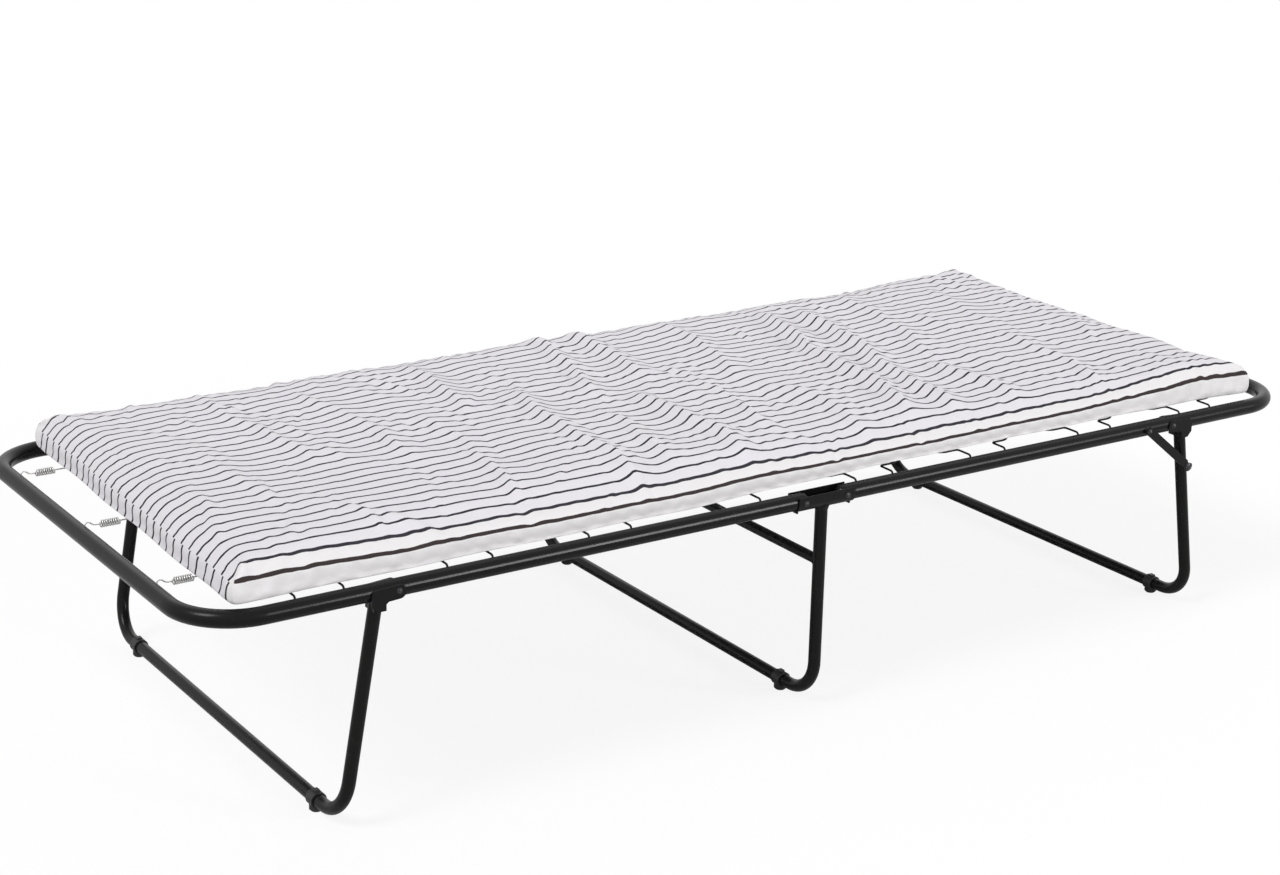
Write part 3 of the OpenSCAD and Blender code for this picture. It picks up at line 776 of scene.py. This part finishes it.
def stripe_mask(cloth, y, wobble):
    """1 on a thin stripe and 0 between them, where y is the place across the cloth."""
    turns = (y - FIRST_STRIPE) / STRIPE_PITCH
    off = abs(cloth.node("Math", {"operation": "FRACT"}, {0: turns + 40.5}) - 0.5) * STRIPE_PITCH
    half = 0.0022 + 0.0008 * (y < FIRST_STRIPE + 0.01) + wobble
    line = 1 - cloth.ramp(off - half, -0.00025, 0.00025)
    inside = (y > FIRST_STRIPE - 0.01) * (y < LAST_STRIPE + 0.01)
    return line * inside


def cover_cloth():
    cloth = Finish("cover", {
        "Sheen Weight": 0.02, "Sheen Roughness": 0.5, "Specular IOR Level": 0.1})
    laid_at = cloth.node("Attribute", {"attribute_name": "laid"}, output=1)
    x, y, z = (cloth.node("SeparateXYZ", {}, {0: laid_at}, output=i) for i in range(3))
    side = abs(y) > PAD_HALF * MM - 0.0002
    end = 1 - (x > PAD_ENDS[0] * MM + 0.0002) * (x < PAD_ENDS[1] * MM - 0.0002)
    cloud = cloth.noise(laid_at, 70, 3)
    stretched = cloth.node("VectorMath", {"operation": "MULTIPLY"}, {0: laid_at, 1: (0.06, 1, 1)})
    slub = cloth.noise(stretched, 900, 2)
    wobble = 0.0005 * (cloth.noise(laid_at, 55, 2) - 0.5)
    jog = 0.006 * end * (z < 0.029)
    stripes = stripe_mask(cloth, y + jog, wobble) * (1 - side)
    band = side * cloth.ramp(z + 3 * wobble, 0.0305, 0.0311)
    lilac = (1 - side) * (y > FIRST_STRIPE) * (y < LAST_STRIPE + 0.004)
    white = cloth.colour(lilac, (0.83, 0.815, 0.82), (0.785, 0.762, 0.8))
    shade = cloth.colour(0.25 * slub + 0.15 * cloud, white, (0.68, 0.66, 0.69))
    inked = cloth.colour(stripes * (0.93 + 0.07 * slub), shade, (0.009, 0.007, 0.016))
    cloth.feed("Base Color", cloth.colour(band * 0.97, inked, (0.022, 0.012, 0.012)))
    cloth.feed("Roughness", 0.82 + 0.1 * slub)
    per = 2 * math.pi / YARN
    weave = sum(cloth.node("Math", {"operation": "SINE"}, {0: c * per}) for c in (x, y, z))
    thread = cloth.bump(0.25 * weave + 0.8 * slub, 5e-5)
    crease = cloth.noise(cloth.node("VectorMath", {"operation": "MULTIPLY"},
                                    {0: laid_at, 1: (1, 0.45, 1)}), 62, 3)
    cloth.feed("Normal", cloth.bump(crease, 0.0016, thread))
    return cloth.material


finishes["cover"] = cover_cloth()

# %% Fit the pad
for piece, side, nodes in (
    (pad_foot, -1, ("mattress_foot", "mattress_fold")),
    (pad_head, 1, ("mattress_head",)),
):
    piece.data.materials.append(finishes["cover"])
    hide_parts(*nodes)
    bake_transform(piece)
print("pad fitted")

# %% [markdown]
# ## Tubes along a path
#
# The springs and the weld beads are both a round section swept along a line. The section must not
# twist, so each ring's direction is carried on from the ring before it. A radius for each point
# lets a bead swell and narrow.

# %% Sweep
def sweep(path, radii, sides, closed=False):
    """Points and faces of a tube along a path, in metres."""
    path = np.asarray(path, float)
    if closed:
        step = np.roll(path, -1, 0) - np.roll(path, 1, 0)
    else:
        step = np.gradient(path, axis=0)
    run = step / np.linalg.norm(step, axis=1)[:, None]
    side = np.cross(run[0], (0.11, 0.93, 0.35))
    rings = []
    for here, ahead, radius in zip(path, run, radii):
        side = side - ahead * side.dot(ahead)
        side /= np.linalg.norm(side)
        other = np.cross(ahead, side)
        turn = np.linspace(0, 2 * math.pi, sides, endpoint=False)[:, None]
        rings.append(here + radius * (np.cos(turn) * side + np.sin(turn) * other))
    count = len(path)
    faces = []
    for i in range(count if closed else count - 1):
        for k in range(sides):
            a, b = i * sides + k, i * sides + (k + 1) % sides
            c, d = ((i + 1) % count) * sides + k, ((i + 1) % count) * sides + (k + 1) % sides
            faces.append((a, b, d, c))
    if not closed:
        faces.append(tuple(range(sides))[::-1])
        faces.append(tuple((count - 1) * sides + k for k in range(sides)))
    return np.concatenate(rings), faces


def piece_of(name, parts, finish, body):
    """One object from several swept tubes, dressed and riding on a body."""
    points, faces = [], []
    for some_points, some_faces in parts:
        start = sum(len(p) for p in points)
        points.append(some_points)
        faces += [tuple(i + start for i in f) for f in some_faces]
    mesh = bpy.data.meshes.new(name)
    mesh.from_pydata(np.concatenate(points).tolist(), [], faces)
    mesh.validate()
    for face in mesh.polygons:
        face.use_smooth = len(face.vertices) == 4
    mesh.materials.append(finishes[finish])
    made = bpy.data.objects.new(name, mesh)
    bpy.context.scene.collection.objects.link(made)
    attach(made, body)
    print(name, "has", len(mesh.polygons), "faces")
    return made


# %% [markdown]
# ## Coil springs
#
# Three springs at each end stretch the deck between the end tube and the outermost wavy wire. Each
# is one length of 2 mm wire: a hook that goes over the tube into its hole, nine turns, and an eye
# that grips the wire. The construction model has the same wire with few faces. Here it is wound
# again from the same sizes with many more points, so it shines as round wire does.

# %% Wind a spring
HOLE_X = 983.0
SPRING_Y = 252.0
SPRING_Z = 349.85
WIRE = 2.0
COIL_RADIUS = 4.5
TURNS = 9
RISE = 3.2
LEAD = 22.0
EYE = 2.75
FOOT_REACH = 90
HEAD_REACH = 132
OVER_TUBE = [(0, -9.0), (0, -5.0), (0, -1.5), (0, 1.5), (1.2, 4.2), (4, 5.3), (7.5, 4.2),
             (10.5, 1.8), (14, 0.3), (19, 0)]


def eased(points, count):
    """A smooth line through a few points, by Catmull and Rom's rule."""
    points = np.asarray(points, float)
    full = np.concatenate([[2 * points[0] - points[1]], points, [2 * points[-1] - points[-2]]])
    line = []
    for a, b, c, d in zip(full, full[1:], full[2:], full[3:]):
        for t in np.linspace(0, 1, count, endpoint=False):
            line.append(0.5 * (2 * b + (c - a) * t + (2 * a - 5 * b + 4 * c - d) * t ** 2
                               + (3 * b - a - 3 * c + d) * t ** 3))
    return np.array(line + [points[-1]])


def spring_path(reach):
    """The wire's middle line in millimetres, from the hook's tip to the eye's end."""
    hook = eased([(x, 0, z) for x, z in OVER_TUBE], 4)
    turn = np.linspace(0, 2 * math.pi * TURNS, TURNS * 24 + 1)
    grow = np.clip(np.minimum(turn, turn[-1] - turn) / 2.4, 0, 1)
    coil = np.column_stack([LEAD + RISE * turn / (2 * math.pi),
                            grow * COIL_RADIUS * np.sin(turn), grow * COIL_RADIUS * np.cos(turn)])
    angle = np.radians(np.linspace(-90, 25, 10))
    eye = np.column_stack([reach + EYE * np.cos(angle), 0 * angle, EYE + EYE * np.sin(angle)])
    straight = [[LEAD + TURNS * RISE + 3, 0, 0], [(LEAD + TURNS * RISE + reach) / 2, 0, 0]]
    return np.concatenate([hook, coil, straight, eye])


def springs(name, side, reach, node, body):
    parts = []
    for y in (-SPRING_Y, 0, SPRING_Y):
        path = spring_path(reach) * (1 if side < 0 else -1, 1 if side < 0 else -1, 1)
        path = (path + (side * HOLE_X, y, SPRING_Z)) * MM
        parts.append(sweep(path, [WIRE / 2 * MM] * len(path), 10))
    made = piece_of(name, parts, "zinc", body)
    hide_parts(node)


springs("coils_foot", -1, FOOT_REACH, "springs_foot", "foot_half")
springs("coils_head", 1, HEAD_REACH, "springs_head", "head_half")

# %% [markdown]
# ## Weld beads
#
# The centre leg is welded under the two brackets, and the cross bar between its uprights. A weld is
# a bead of metal that was laid down in small steps, so its thickness ripples. Where one round tube
# meets another the bead can't be a flat ring: it follows the line in which the two surfaces cross.

# %% Lay the beads
RAIL_Y = 392.5
RAIL_Z = 338.0
CROSS_Z = 238.0
CROSS_RADIUS = 8.0
LEG_RADIUS = 9.5
BRACKET_RADIUS = 14.4
RING_POINTS = 96


def bead(ring, ripples, phase):
    """One closed weld bead along a ring of points in millimetres."""
    turn = np.linspace(0, 2 * math.pi, len(ring), endpoint=False)
    radii = 1.35 + 0.3 * np.sin(ripples * turn + phase) + 0.2 * np.sin(3 * turn + 2 * phase)
    return sweep(np.asarray(ring) * MM, radii * MM, 8, closed=True)


beads = []
turn = np.linspace(0, 2 * math.pi, RING_POINTS, endpoint=False)
for side in (-1, 1):
    across_bar = CROSS_RADIUS * np.cos(turn)
    inner = RAIL_Y - np.sqrt(LEG_RADIUS ** 2 - across_bar ** 2)
    beads.append(bead(np.column_stack([across_bar, side * inner,
                                       CROSS_Z + CROSS_RADIUS * np.sin(turn)]), 17, side))
    out = LEG_RADIUS * np.sin(turn)
    under = RAIL_Z - np.sqrt(BRACKET_RADIUS ** 2 - out ** 2)
    beads.append(bead(np.column_stack([LEG_RADIUS * np.cos(turn), side * RAIL_Y + out, under]),
                      19, 2 * side))
piece_of("centre_welds", beads, "leg_paint", "centre")
